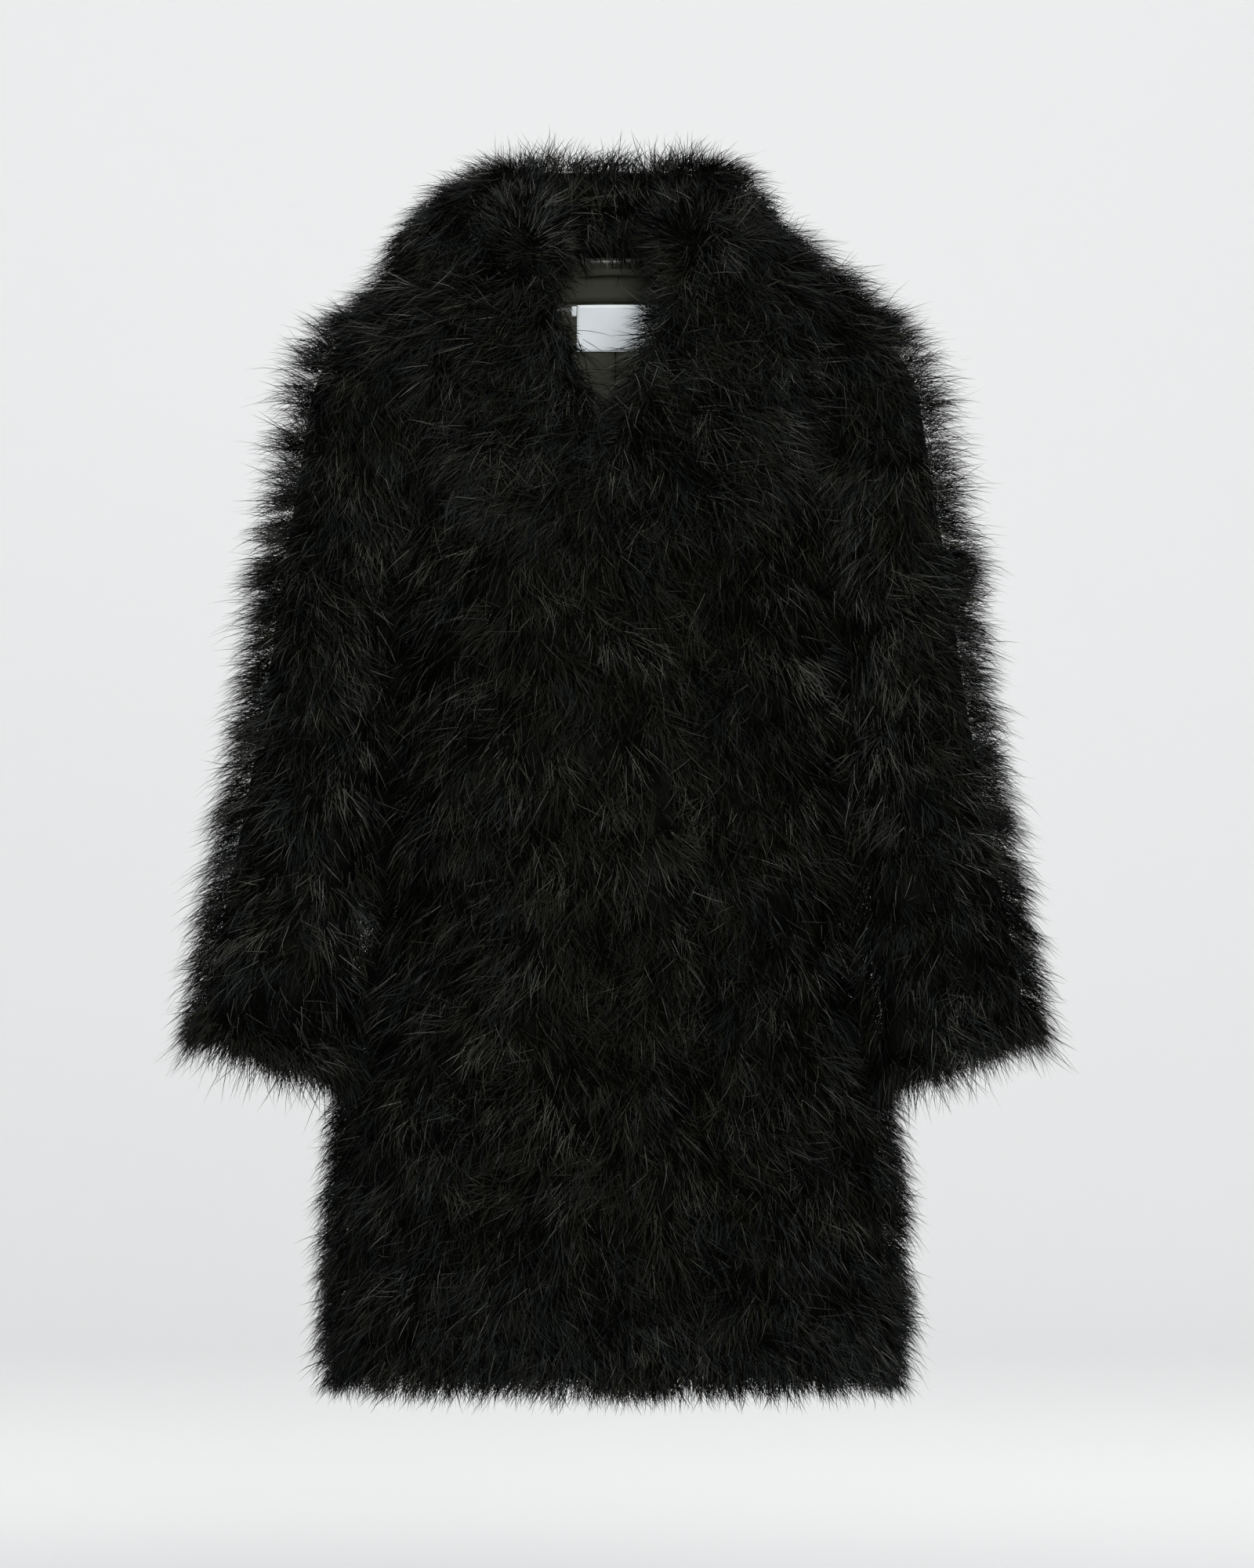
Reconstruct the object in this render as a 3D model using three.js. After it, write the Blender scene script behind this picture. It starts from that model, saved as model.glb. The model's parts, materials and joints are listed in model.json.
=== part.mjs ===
// A knee-length coat covered in feather strips, with long sleeves, a wide collar and a lined V neck.
// The coat hangs upright: +Z is up, its front faces -Y and the wearer's left is +X.
// The origin is the top of the hanger loop inside the back of the neck.
import * as THREE from "three";

// ---- driving dimensions, in millimetres, heights measured from the lowest feather tips at the hem ----
const SEAM_GAP = 0.5; // open gap between neighbouring pieces along a seam
const PILE = 24; // height of the feather layer above the fabric
const PRESSED_PILE = 11; // feather layer where a sleeve or the collar presses on it
const FABRIC = [-1, 1]; // inner and outer face of the fabric, measured from the body surface
const PILE_START = 1.8; // where the feather layer starts, measured from the body surface
const LINING = [-8, -6.5];
const SLEEVE_LINING = [-6, -4.5];
const LABEL_LAYER = [-11, -9.8];
const COLLAR_FABRIC = [14, 16];
const COLLAR_PILE = [16.6, 36];
const HEM = 18; // height of the fabric's hem
const NECK = 902; // height of the neck seam
const COLLAR_TOP = 866; // height on the body at which the collar's fall ends under its roll
const ARMHOLE = { centre: 752, halfHeight: 95, halfDepth: 62, bottom: 657, top: 847 };
const SLEEVE_START = 179; // distance of the sleeve head's plane from the centre
const LAP = { rightEdge: 43, leftEdge: -20, sink: 20, from: 64, to: 100 };
const VERTEX = 745; // height at which the V neck closes
const LOOP = { z: 886, backY: 53, frontY: 44, width: 56, band: 5, thick: 1.6 };
const LABEL = { left: -31, width: 68, low: 829, high: 866 };
const STAND = { rightTurn: 2.13, leftTurn: 2.2, fabricTop: 958, top: 976, roll: 64 };
const FASTENINGS = [{ x: -6, z: 700 }, { x: 8, z: 480 }, { x: 4, z: 280 }];

// Each opening front turns about a straight line that runs down and outwards over its feathers.
const RIGHT = { topX: 31.8, topZ: 640, hemX: -120, flapTop: 620 };
const LEFT = { topX: -20, topZ: 400, hemX: 120, flapTop: 370 };

// Body sections from hem to neck: height, half width, half depth, roundness of the corners.
const SECTIONS = [
  [0, 214, 126, 2.3], [120, 211, 125, 2.3], [235, 201, 124, 2.3], [330, 178, 123, 2.4],
  [450, 167, 122, 2.5], [560, 163, 119, 2.5], [640, 163, 114, 2.5], [720, 164, 108, 2.8],
  [790, 166, 97, 3.2], [835, 164, 84, 3.0], [862, 140, 76, 2.6], [884, 106, 69, 2.2], [902, 76, 62, 2.0],
  [920, 62, 56, 2.0],
];
// Sleeve sections from armhole to cuff: outer x and z, inner x and z, half depth, y of the centre.
const SLEEVE = [
  [-179, 846, -179, 660, 64, -6], [-212, 831, -181, 645, 66, -8], [-236, 795, -182, 628, 67, -10],
  [-249, 722, -184, 590, 67, -14], [-262, 640, -187, 545, 66, -22], [-276, 540, -192, 480, 65, -34],
  [-296, 430, -202, 390, 66, -50], [-314, 335, -210, 300, 68, -64], [-321, 296, -213, 258, 69, -70],
];
// Stations up the body at which the panels have a row of points.
const ROWS = [18, 90, 165, 235, 290, 370, 430, 490, 560, 620, 656, 680, 716, 752, 788, 824, 847, 866, 884, 902];

// ---- small helpers ----
const clamp = (x, low, high) => Math.min(high, Math.max(low, x));
const mix = (a, b, t) => a + (b - a) * t;
function smooth(low, high, x) {
  const t = clamp((x - low) / (high - low), 0, 1);
  return t * t * (3 - 2 * t);
}

// Values of a table at a place along its first column, on smooth curves through its rows.
function along(table, place) {
  let i = 0;
  while (i < table.length - 2 && place > table[i + 1][0]) i += 1;
  const row = (k) => table[clamp(k, 0, table.length - 1)];
  const span = row(i + 1)[0] - row(i)[0];
  const t = (place - row(i)[0]) / span;
  return row(i).slice(1).map((value, n) => {
    const next = row(i + 1)[n + 1];
    const slopeIn = slope(row(i - 1), row(i), row(i + 1), n + 1) * span;
    const slopeOut = slope(row(i), row(i + 1), row(i + 2), n + 1) * span;
    const t2 = t * t;
    const t3 = t2 * t;
    return (2 * t3 - 3 * t2 + 1) * value + (t3 - 2 * t2 + t) * slopeIn
      + (3 * t2 - 2 * t3) * next + (t3 - t2) * slopeOut;
  });
}
function slope(before, at, after, n) {
  const rise = after[n] - before[n];
  const left = (at[n] - before[n]) * (after[n] - at[n]);
  return left <= 0 ? 0 : rise / (after[0] - before[0]);
}

// ---- the body surface ----
// A point on the body at a turn around it (0 at the back centre, positive towards +X) and a height.
function bodyPoint(turn, z) {
  const [halfWidth, halfDepth, roundness] = along(SECTIONS, z);
  const s = Math.sin(turn);
  const c = Math.cos(turn);
  const sum = Math.abs(s / halfWidth) ** roundness + Math.abs(c / halfDepth) ** roundness;
  const r = sum ** (-1 / roundness);
  return new THREE.Vector3(r * s, r * c, z);
}
// The direction in which the layers of the coat are stacked at that place.
function bodyOutward(turn, z) {
  const step = 0.004;
  const side = bodyPoint(turn + step, z).sub(bodyPoint(turn - step, z));
  const up = bodyPoint(turn, z + 1.5).sub(bodyPoint(turn, z - 1.5));
  const normal = side.cross(up).normalize().negate();
  const at = bodyPoint(turn, z);
  if (normal.x * at.x + normal.y * at.y < 0) normal.negate();
  if (at.y > 0) return normal;
  const free = Math.max(smooth(125, 165, Math.abs(at.x)), smooth(690, 770, z));
  return normal.set(normal.x * free, normal.y, normal.z * free).normalize();
}
// The turn at which the front surface (or the back one) reaches a given x at a height.
function turnAtX(x, z, front = true) {
  const target = clamp(Math.abs(x), 0, along(SECTIONS, z)[0] * 0.9999);
  let low = 0;
  let high = Math.PI / 2;
  for (let i = 0; i < 40; i += 1) {
    const middle = (low + high) / 2;
    if (bodyPoint(middle, z).x < target) low = middle;
    else high = middle;
  }
  return Math.sign(x || 1) * (front ? Math.PI - low : low);
}
// The side seam opens into the armhole: how far from the seam the body ends, front and back.
function armholeHalfDepth(z) {
  const k = (z - ARMHOLE.centre) / ARMHOLE.halfHeight;
  return Math.abs(k) < 1 ? ARMHOLE.halfDepth * Math.sqrt(1 - k * k) : 0;
}
function turnAtSide(z, front) {
  const y = armholeHalfDepth(z) + SEAM_GAP / 2;
  let low = 0;
  let high = Math.PI / 2;
  for (let i = 0; i < 40; i += 1) {
    const middle = (low + high) / 2;
    if (bodyPoint(middle, z).y > y) low = middle;
    else high = middle;
  }
  return front ? Math.PI - low : low;
}

// ---- closed panels ----
// A box whose grid is bent onto a surface; place(u, v, w) gives a point for each of its corners.
function panel(columns, rows, place) {
  const geometry = new THREE.BoxGeometry(1, 1, 1, columns, 1, rows);
  const position = geometry.getAttribute("position");
  const point = new THREE.Vector3();
  for (let i = 0; i < position.count; i += 1) {
    point.fromBufferAttribute(position, i).addScalar(0.5);
    const bent = place(point.x, point.z, point.y);
    position.setXYZ(i, bent.x, bent.y, bent.z);
  }
  matchDiagonals(geometry);
  geometry.computeVertexNormals();
  return facingOut(geometry);
}
// Gives the box's bottom grid the same diagonals as its top, so that stacked layers fit each other.
function matchDiagonals(geometry) {
  const bottom = geometry.groups[3];
  const index = geometry.index;
  for (let i = bottom.start; i < bottom.start + bottom.count; i += 6) {
    const [a, b, d] = [0, 1, 2].map((k) => index.getX(i + k));
    const c = index.getX(i + 4);
    [a, b, c, a, c, d].forEach((corner, k) => index.setX(i + k, corner));
  }
}
// Turns the faces of a closed geometry outwards if the bending mirrored it.
function facingOut(geometry) {
  const position = geometry.getAttribute("position");
  const index = geometry.index;
  const a = new THREE.Vector3();
  const b = new THREE.Vector3();
  const c = new THREE.Vector3();
  let volume = 0;
  for (let i = 0; i < index.count; i += 3) {
    a.fromBufferAttribute(position, index.getX(i));
    b.fromBufferAttribute(position, index.getX(i + 1));
    c.fromBufferAttribute(position, index.getX(i + 2));
    volume += a.dot(b.clone().cross(c));
  }
  if (volume < 0) {
    for (let i = 0; i < index.count; i += 3) {
      const first = index.getX(i);
      index.setX(i, index.getX(i + 1));
      index.setX(i + 1, first);
    }
    geometry.computeVertexNormals();
  }
  return geometry;
}
// Rows between two heights: the coat's own stations with the two ends.
function rowsBetween(low, high) {
  return [low, ...ROWS.filter((z) => z > low + 6 && z < high - 6), high];
}
// A panel of the body between two heights, two turns and two layers, each a function of the place.
function bodyPanel({ low, high, from, to, inner, outer, columns }) {
  const heights = rowsBetween(low, high);
  return panel(columns, heights.length - 1, (u, v, w) => {
    const z = heights[Math.round(v * (heights.length - 1))];
    const turn = mix(from(z), to(z), u);
    const at = bodyPoint(turn, z);
    const depth = w < 0.5 ? inner(at, z) : outer(at, z);
    return at.addScaledVector(bodyOutward(turn, z), depth);
  });
}

// ---- layers ----
// How far the left front lies under the right one, at an x on the front.
function sinkAt(at) {
  if (at.y > 0) return 0;
  return LAP.sink * smooth(LAP.to, LAP.from, at.x);
}
// Height of the feather layer: pressed down under the collar, against the sleeves and in the lap.
function pileAt(at, z) {
  const byArm = smooth(112, 140, Math.abs(at.x)) * smooth(200, 245, z);
  const byCollar = smooth(collarEdge(at) - 26, collarEdge(at) - 6, z);
  return mix(mix(PILE, PRESSED_PILE, byArm), PRESSED_PILE - 3, byCollar);
}
function leftPileAt(at, z) {
  return Math.min(pileAt(at, z), mix(PILE, 9, at.y > 0 ? 0 : smooth(LAP.to, LAP.from, at.x)));
}
// Height of the collar's lower edge on the body.
function collarEdge(at) {
  const x = Math.abs(at.x);
  if (at.y > 0) return mix(790, 806, smooth(0, 150, x));
  return 800 - 125 * smooth(165, 70, x) - 22 * smooth(70, 0, x);
}

// ---- edges of the fronts ----
function rightEdgeX(z) {
  if (z > VERTEX) return mix(-9, -60, smooth(VERTEX - 40, NECK + 30, z) * 1.12);
  return mix(LAP.rightEdge, -9, smooth(590, VERTEX + 12, z));
}
function leftEdgeX(z) {
  return z > VERTEX ? mix(-4, 54, smooth(VERTEX - 40, NECK + 30, z) * 1.12) : mix(LAP.leftEdge, -4, smooth(680, VERTEX, z));
}
const foldX = (fold, z) => mix(fold.hemX, fold.topX, z / fold.topZ);


// A turn on the front for an x that may lie past the centre; side is -1 for the right front, 1 for the left.
function frontTurn(x, z, side) {
  const turn = Math.abs(turnAtX(Math.abs(x) + 1e-6, z));
  const past = (Math.PI - turn) * Math.sign(x || 1);
  return side < 0 ? -Math.PI - past : Math.PI - past;
}
const minus = (f, g) => (at, z) => f(at, z) - g(at, z);
const flat = (value) => () => value;
const sink = (at, z) => sinkAt(at) * (1 - smooth(735, 800, z));

// ---- materials ----
function cloth(color, roughness) {
  return new THREE.MeshStandardMaterial({ color, roughness, metalness: 0, side: THREE.DoubleSide });
}
const featherBlack = () => cloth(0x1a1b1a, 0.85);
const baseCloth = () => cloth(0x16160f, 0.9);
const satin = () => cloth(0x33332a, 0.45);
const labelSatin = () => cloth(0xd8dcdc, 0.5);
const blackMetal = () => new THREE.MeshStandardMaterial({ color: 0x222222, roughness: 0.4, metalness: 0.8 });

const coat = new THREE.Group();
function add(name, geometry, material) {
  const mesh = new THREE.Mesh(geometry, material);
  mesh.name = name;
  coat.add(mesh);
  return mesh;
}

// ---- back ----
function addBack() {
  const whole = { from: (z) => -turnAtSide(z, false), to: (z) => turnAtSide(z, false), columns: 8 };
  const split = 490;
  add("back_fabric", bodyPanel({ ...whole, low: HEM, high: NECK, inner: flat(FABRIC[0]), outer: flat(FABRIC[1]) }),
    baseCloth());
  const pile = { ...whole, inner: flat(PILE_START), outer: pileAt };
  add("back_feathers_lower", bodyPanel({ ...pile, low: HEM - 6, high: split - SEAM_GAP }), featherBlack());
  for (const [name, side] of [["right", -1], ["left", 1]]) {
    const half = {
      from: (z) => (side < 0 ? -turnAtSide(z, false) : 0.004),
      to: (z) => (side < 0 ? -0.004 : turnAtSide(z, false)),
      columns: 4,
    };
    add(`${name}_back_feathers`, bodyPanel({ ...pile, ...half, low: split, high: NECK }), featherBlack());
    add(`${name}_back_lining`, bodyPanel({
      ...half,
      low: HEM + 8,
      high: COLLAR_TOP,
      inner: flat(LINING[0]),
      outer: flat(LINING[1]),
    }), satin());
  }
  add("back_neck_facing", bodyPanel({ ...whole, low: COLLAR_TOP + SEAM_GAP, high: NECK, inner: flat(LINING[0]),
    outer: flat(LINING[1]) }), baseCloth());
}

// ---- fronts: each has a part that stays and a part that opens ----
function addFront(name, side) {
  const edge = side < 0 ? rightEdgeX : leftEdgeX;
  const fold = side < 0 ? RIGHT : LEFT;
  const inward = (a, b) => (side < 0 ? Math.min(a, b) : Math.max(a, b));
  const limit = (z) => inward(edge(z), z < fold.topZ ? foldX(fold, z) : edge(z));
  const down = side < 0 ? flat(0) : sink;
  const pile = side < 0 ? pileAt : leftPileAt;
  const stays = {
    from: (z) => side * turnAtSide(z, true),
    to: (z) => frontTurn(limit(z) + side * SEAM_GAP / 2, z, side),
    columns: 5,
  };
  const opens = {
    from: (z) => frontTurn(foldX(fold, z) - side * SEAM_GAP / 2, z, side),
    to: (z) => frontTurn(edge(z), z, side),
    columns: 3,
    high: fold.flapTop,
  };
  const fabric = { inner: minus(flat(FABRIC[0]), down), outer: minus(flat(FABRIC[1]), down) };
  const inside = { inner: minus(flat(LINING[0]), down), outer: minus(flat(LINING[1]), down) };
  const fluff = { inner: minus(flat(PILE_START), down), outer: minus(pile, down) };
  add(`${name}_front_fabric`, bodyPanel({ ...stays, ...fabric, low: HEM, high: NECK }), baseCloth());
  add(`${name}_front_lining`, bodyPanel({ ...stays, ...inside, low: HEM + 8, high: NECK }), satin());
  add(`${name}_front_feathers`, bodyPanel({ ...stays, ...fluff, low: HEM - 6, high: NECK }), featherBlack());
  add(`${name}_opening_fabric`, bodyPanel({ ...opens, ...fabric, low: HEM }), baseCloth());
  add(`${name}_opening_facing`, bodyPanel({ ...opens, ...inside, low: HEM + 3 }), satin());
  add(`${name}_opening_feathers`, bodyPanel({ ...opens, ...fluff, low: HEM - 6 }), featherBlack());
}

// ---- collar ----
// The fall lies on the shoulders and chest; it thins out towards the sleeve heads.
function collarPileAt(at) {
  return mix(COLLAR_PILE[1], 24, smooth(105, 138, Math.abs(at.x)));
}
function collarPanel(columns, turnOf, lowOf, layer, down) {
  const rows = 6;
  return panel(columns, rows, (u, v, w) => {
    const z = mix(lowOf(u), COLLAR_TOP, 1 - (1 - v) ** 1.6);
    const turn = turnOf(u, z);
    const at = bodyPoint(turn, z);
    const depth = w < 0.5 ? layer.inner(at, z) : layer.outer(at, z);
    return at.addScaledVector(bodyOutward(turn, z), depth - down(at, z));
  });
}
const collarReach = (z) => Math.min(138, along(SECTIONS, z)[0] - 1);
function addCollarFall() {
  const fabric = { inner: flat(COLLAR_FABRIC[0]), outer: flat(COLLAR_FABRIC[1]) };
  const fluff = { inner: flat(COLLAR_PILE[0]), outer: collarPileAt };
  const lowFront = (x) => collarEdge(new THREE.Vector3(x, -1, 0));
  const lowBack = (x) => collarEdge(new THREE.Vector3(x, 1, 0));
  const overlapEdge = (z) => Math.max(leftEdgeX(z), rightEdgeX(z) + 7);
  const parts = [
    ["right_collar", 7, (u, z) => frontTurn(mix(rightEdgeX(z), -collarReach(z), u), z, -1),
      (u) => lowFront(mix(0, -138, u)), flat(0)],
    ["left_collar", 7, (u, z) => frontTurn(mix(overlapEdge(z), collarReach(z), u), z, 1),
      (u) => lowFront(mix(25, 138, u)), sink],
    ["back_collar", 10, (u, z) => turnAtX(mix(-collarReach(z), collarReach(z), u), z, false),
      (u) => lowBack(mix(-138, 138, u)), flat(0)],
  ];
  for (const [name, columns, turnOf, lowOf, down] of parts) {
    add(`${name}_fabric`, collarPanel(columns, turnOf, lowOf, fabric, down), baseCloth());
    add(`${name}_feathers`, collarPanel(columns, turnOf, lowOf, fluff, down), featherBlack());
  }
}
// The stand rises from the neck seam, open at the front, with feathers inside and out.
function standPoint(turn, offset, z) {
  const at = bodyPoint(turn, NECK);
  const reach = mix(0.75, 1, Math.abs(Math.sin(turn)));
  at.multiplyScalar(1 + (offset * (offset > 5 ? reach : 1)) / at.clone().setZ(0).length());
  return at.setZ(z);
}
function addCollarStand() {
  const turnOf = (u) => mix(-STAND.rightTurn, STAND.leftTurn, u);
  const ring = (rows, low, high, inner, outer) => panel(16, rows, (u, v, w) => {
    const z = mix(low, high, v);
    return standPoint(turnOf(u), w < 0.5 ? inner(z) : outer(z), z);
  });
  const roll = (z) => 3 + (STAND.roll - 3) * Math.sqrt(1 - clamp((z - 918) / 59, 0, 0.96) ** 2);
  add("collar_stand_fabric", ring(2, NECK + 7, STAND.fabricTop, flat(0), flat(2)), baseCloth());
  add("collar_inner_feathers", ring(3, NECK + 7, STAND.top - 6, (z) => mix(-15, -8, smooth(930, STAND.top, z)),
    flat(-SEAM_GAP)), featherBlack());
  add("collar_outer_feathers", ring(5, 909, STAND.top, flat(2 + SEAM_GAP), roll), featherBlack());
}

// ---- label and hanger loop ----
function addNeckDetails() {
  const backPiece = (x0, x1, low, high) => bodyPanel({
    from: (z) => turnAtX(x0, z, false),
    to: (z) => turnAtX(x1, z, false),
    columns: 4,
    low,
    high,
    inner: flat(LABEL_LAYER[0]),
    outer: flat(LABEL_LAYER[1]),
  });
  add("label", backPiece(LABEL.left, LABEL.left + LABEL.width, LABEL.low, LABEL.high), labelSatin());
  add("label_tab", backPiece(LABEL.left - 5, LABEL.left - SEAM_GAP, LABEL.high - 9, LABEL.high - 1), labelSatin());
  const half = LOOP.width / 2;
  const path = new THREE.CatmullRomCurve3([
    new THREE.Vector3(-half, LOOP.backY, LOOP.z),
    new THREE.Vector3(-half * 0.55, LOOP.frontY + 1.5, LOOP.z + 1),
    new THREE.Vector3(0, LOOP.frontY, LOOP.z + 1.5),
    new THREE.Vector3(half * 0.55, LOOP.frontY + 1.5, LOOP.z + 1),
    new THREE.Vector3(half, LOOP.backY, LOOP.z),
  ]);
  const band = new THREE.Shape();
  band.moveTo(-LOOP.band / 2, -LOOP.thick / 2);
  band.lineTo(LOOP.band / 2, -LOOP.thick / 2);
  band.lineTo(LOOP.band / 2, LOOP.thick / 2);
  band.lineTo(-LOOP.band / 2, LOOP.thick / 2);
  band.closePath();
  add("hanger_loop", new THREE.ExtrudeGeometry(band, { steps: 14, extrudePath: path }), baseCloth());
}

// ---- hooks and eyes ----
function hookShape() {
  const shape = new THREE.Shape();
  shape.moveTo(-4, -5);
  shape.lineTo(4, -5);
  shape.lineTo(4, 1);
  shape.absarc(0, 1, 4, 0, Math.PI, false);
  shape.closePath();
  const hole = new THREE.Path();
  hole.moveTo(-2.6, -3.6);
  hole.lineTo(-2.6, 1);
  hole.absarc(0, 1, 2.6, Math.PI, 0, true);
  hole.lineTo(2.6, -3.6);
  hole.closePath();
  shape.holes.push(hole);
  return shape;
}
function addFastenings() {
  FASTENINGS.forEach(({ x, z }, i) => {
    const y = bodyPoint(frontTurn(x, z, -1), z + 6).y;
    const hook = new THREE.ExtrudeGeometry(hookShape(), { depth: 0.9, bevelEnabled: false, curveSegments: 6 });
    hook.rotateY(Math.PI / 2).rotateX(Math.PI / 2).rotateZ(Math.PI / 2);
    hook.translate(x, y + 8.5, z);
    add(`hook_${i + 1}`, hook, blackMetal());
    const eye = new THREE.TorusGeometry(3.6, 0.45, 6, 14);
    eye.rotateX(Math.PI / 2);
    eye.translate(x, y + 10.35, z);
    add(`eye_${i + 1}`, eye, blackMetal());
  });
}

// ---- sleeves ----
// A closed tube between two layers; the sleeve runs from the armhole (0) to the cuff (1).
function sleeveTube(side, from, to, inner, outer) {
  const last = SLEEVE.length - 1;
  const stations = SLEEVE.map((row, i) => i / last).filter((place) => place > from + 0.02 && place < to - 0.02);
  const places = [from, ...stations, to];
  const profile = [
    ...places.map((place) => new THREE.Vector2(1, place)),
    ...places.toReversed().map((place) => new THREE.Vector2(2, place)),
    new THREE.Vector2(1, from),
  ];
  const around = 12;
  const geometry = new THREE.LatheGeometry(profile, around);
  const position = geometry.getAttribute("position");
  const table = SLEEVE.map((row, i) => [i / last, ...row]);
  for (let i = 0; i < position.count; i += 1) {
    const column = Math.floor(i / profile.length) % around;
    const turn = (2 * Math.PI * column) / around;
    const { x: layer, y: place } = profile[i % profile.length];
    const [outX, outZ, inX, inZ, halfDepth, y] = along(table, place);
    const half = new THREE.Vector3((outX - inX) / 2, 0, (outZ - inZ) / 2);
    const c = Math.cos(turn);
    const s = Math.sin(turn);
    const outward = half.clone().normalize().multiplyScalar(c / half.length()).setY(s / halfDepth).normalize();
    const at = new THREE.Vector3((outX + inX) / 2, y + halfDepth * s, (outZ + inZ) / 2);
    at.addScaledVector(half, c).addScaledVector(outward, layer < 1.5 ? inner(c) : outer(c));
    position.setXYZ(i, at.x * -side, at.y, at.z);
  }
  matchTubeDiagonals(geometry, places.length, profile.length - 1, around);
  geometry.computeVertexNormals();
  return facingOut(geometry);
}
// Gives the outer wall of a lathed tube the same diagonals as its inner wall.
function matchTubeDiagonals(geometry, firstOuter, cells, around) {
  const index = geometry.index;
  for (let column = 0; column < around; column += 1) {
    for (let cell = firstOuter; cell < cells; cell += 1) {
      const start = (column * cells + cell) * 6;
      const [a, b, d, c] = [0, 1, 2, 3].map((k) => index.getX(start + k));
      [a, b, c, a, c, d].forEach((corner, k) => index.setX(start + k, corner));
    }
  }
}
function addSleeve(name, side) {
  const pile = (c) => mix(PILE, PRESSED_PILE - 1, smooth(0.25, 0.85, -c));
  const tube = (from, to, inner, outer) => sleeveTube(side, from, to, flat(inner), outer);
  add(`${name}_sleeve_fabric`, tube(0, 0.985, FABRIC[0], flat(FABRIC[1])), baseCloth());
  add(`${name}_sleeve_lining`, tube(0, 0.9, SLEEVE_LINING[0], flat(SLEEVE_LINING[1])), satin());
  add(`${name}_cuff_facing`, tube(0.905, 0.985, SLEEVE_LINING[0], flat(SLEEVE_LINING[1])), baseCloth());
  add(`${name}_sleeve_feathers_upper`, tube(0, 0.5, PILE_START, pile), featherBlack());
  add(`${name}_sleeve_feathers_lower`, tube(0.501, 1, PILE_START, pile), featherBlack());
}

addBack();
addFront("right", -1);
addFront("left", 1);
addCollarFall();
addCollarStand();
addNeckDetails();
addFastenings();
addSleeve("right", -1);
addSleeve("left", 1);

// The origin moves from the hem's height to the top of the hanger loop.
const group = new THREE.Group();
coat.position.set(0, -LOOP.frontY, -LOOP.z - 1.5);
group.add(coat);

export default group;
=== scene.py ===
# A knee-length coat covered in marabou feathers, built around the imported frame.
import bmesh
import bpy
import json
import math
import numpy as np
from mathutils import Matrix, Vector

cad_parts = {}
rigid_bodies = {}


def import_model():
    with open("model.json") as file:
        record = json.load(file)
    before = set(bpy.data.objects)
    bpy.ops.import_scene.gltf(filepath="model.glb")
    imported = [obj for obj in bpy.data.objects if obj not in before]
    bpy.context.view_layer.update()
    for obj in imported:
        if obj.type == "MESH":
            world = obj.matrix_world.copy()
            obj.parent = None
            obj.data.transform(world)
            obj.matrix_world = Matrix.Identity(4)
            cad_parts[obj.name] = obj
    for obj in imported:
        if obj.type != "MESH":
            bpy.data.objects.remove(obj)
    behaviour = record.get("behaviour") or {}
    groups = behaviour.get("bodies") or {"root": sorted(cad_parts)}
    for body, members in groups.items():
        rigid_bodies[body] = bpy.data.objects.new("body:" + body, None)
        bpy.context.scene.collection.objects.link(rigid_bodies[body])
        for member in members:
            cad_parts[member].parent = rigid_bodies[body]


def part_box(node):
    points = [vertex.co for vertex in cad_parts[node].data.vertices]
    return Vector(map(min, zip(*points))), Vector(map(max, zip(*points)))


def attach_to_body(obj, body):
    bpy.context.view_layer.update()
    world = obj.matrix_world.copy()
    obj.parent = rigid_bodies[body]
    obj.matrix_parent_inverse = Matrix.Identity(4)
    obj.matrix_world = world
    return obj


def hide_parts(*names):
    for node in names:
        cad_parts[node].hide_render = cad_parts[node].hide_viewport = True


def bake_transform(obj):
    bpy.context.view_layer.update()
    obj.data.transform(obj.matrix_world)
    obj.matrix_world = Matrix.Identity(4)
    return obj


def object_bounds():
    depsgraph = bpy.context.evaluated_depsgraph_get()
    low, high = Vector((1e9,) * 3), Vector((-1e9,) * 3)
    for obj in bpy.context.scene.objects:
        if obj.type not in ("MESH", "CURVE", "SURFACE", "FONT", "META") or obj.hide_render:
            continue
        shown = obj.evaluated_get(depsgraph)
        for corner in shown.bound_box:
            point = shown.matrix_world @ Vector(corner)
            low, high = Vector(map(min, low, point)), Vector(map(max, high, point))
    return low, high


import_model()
CAD_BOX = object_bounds()

# ---- the coat's own measures, in millimetres above the hem, as the frame was built ----
HEM = 18.0
NECK = 902.0  # height of the neck seam
VERTEX = 745.0  # height at which the V neck closes
COLLAR_TOP = 866.0  # height on the body at which the collar's fall ends under its roll
# Height, half width, half depth and roundness of the body
SECTIONS = np.array([
    [0, 214, 126, 2.3], [120, 211, 125, 2.3], [235, 201, 124, 2.3], [330, 178, 123, 2.4],
    [450, 167, 122, 2.5], [560, 163, 119, 2.5], [640, 163, 114, 2.5], [720, 164, 108, 2.8],
    [790, 166, 97, 3.2], [835, 164, 84, 3.0], [862, 140, 76, 2.6], [884, 106, 69, 2.2],
    [902, 76, 62, 2.0], [920, 62, 56, 2.0]], float)
# Outer x and z, inner x and z, half depth and y of the right sleeve
SLEEVE = np.array([
    [-179, 846, -179, 660, 64, -6], [-212, 831, -181, 645, 66, -8], [-236, 795, -182, 628, 67, -10],
    [-249, 722, -184, 590, 67, -14], [-262, 640, -187, 545, 66, -22], [-276, 540, -192, 480, 65, -34],
    [-296, 430, -202, 390, 66, -50], [-314, 335, -210, 300, 68, -64], [-321, 296, -213, 258, 69, -70]], float)
ARMHOLE = dict(centre=752.0, half_height=95.0, half_depth=62.0, body_x=152.0, sleeve_x=178.0)
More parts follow.
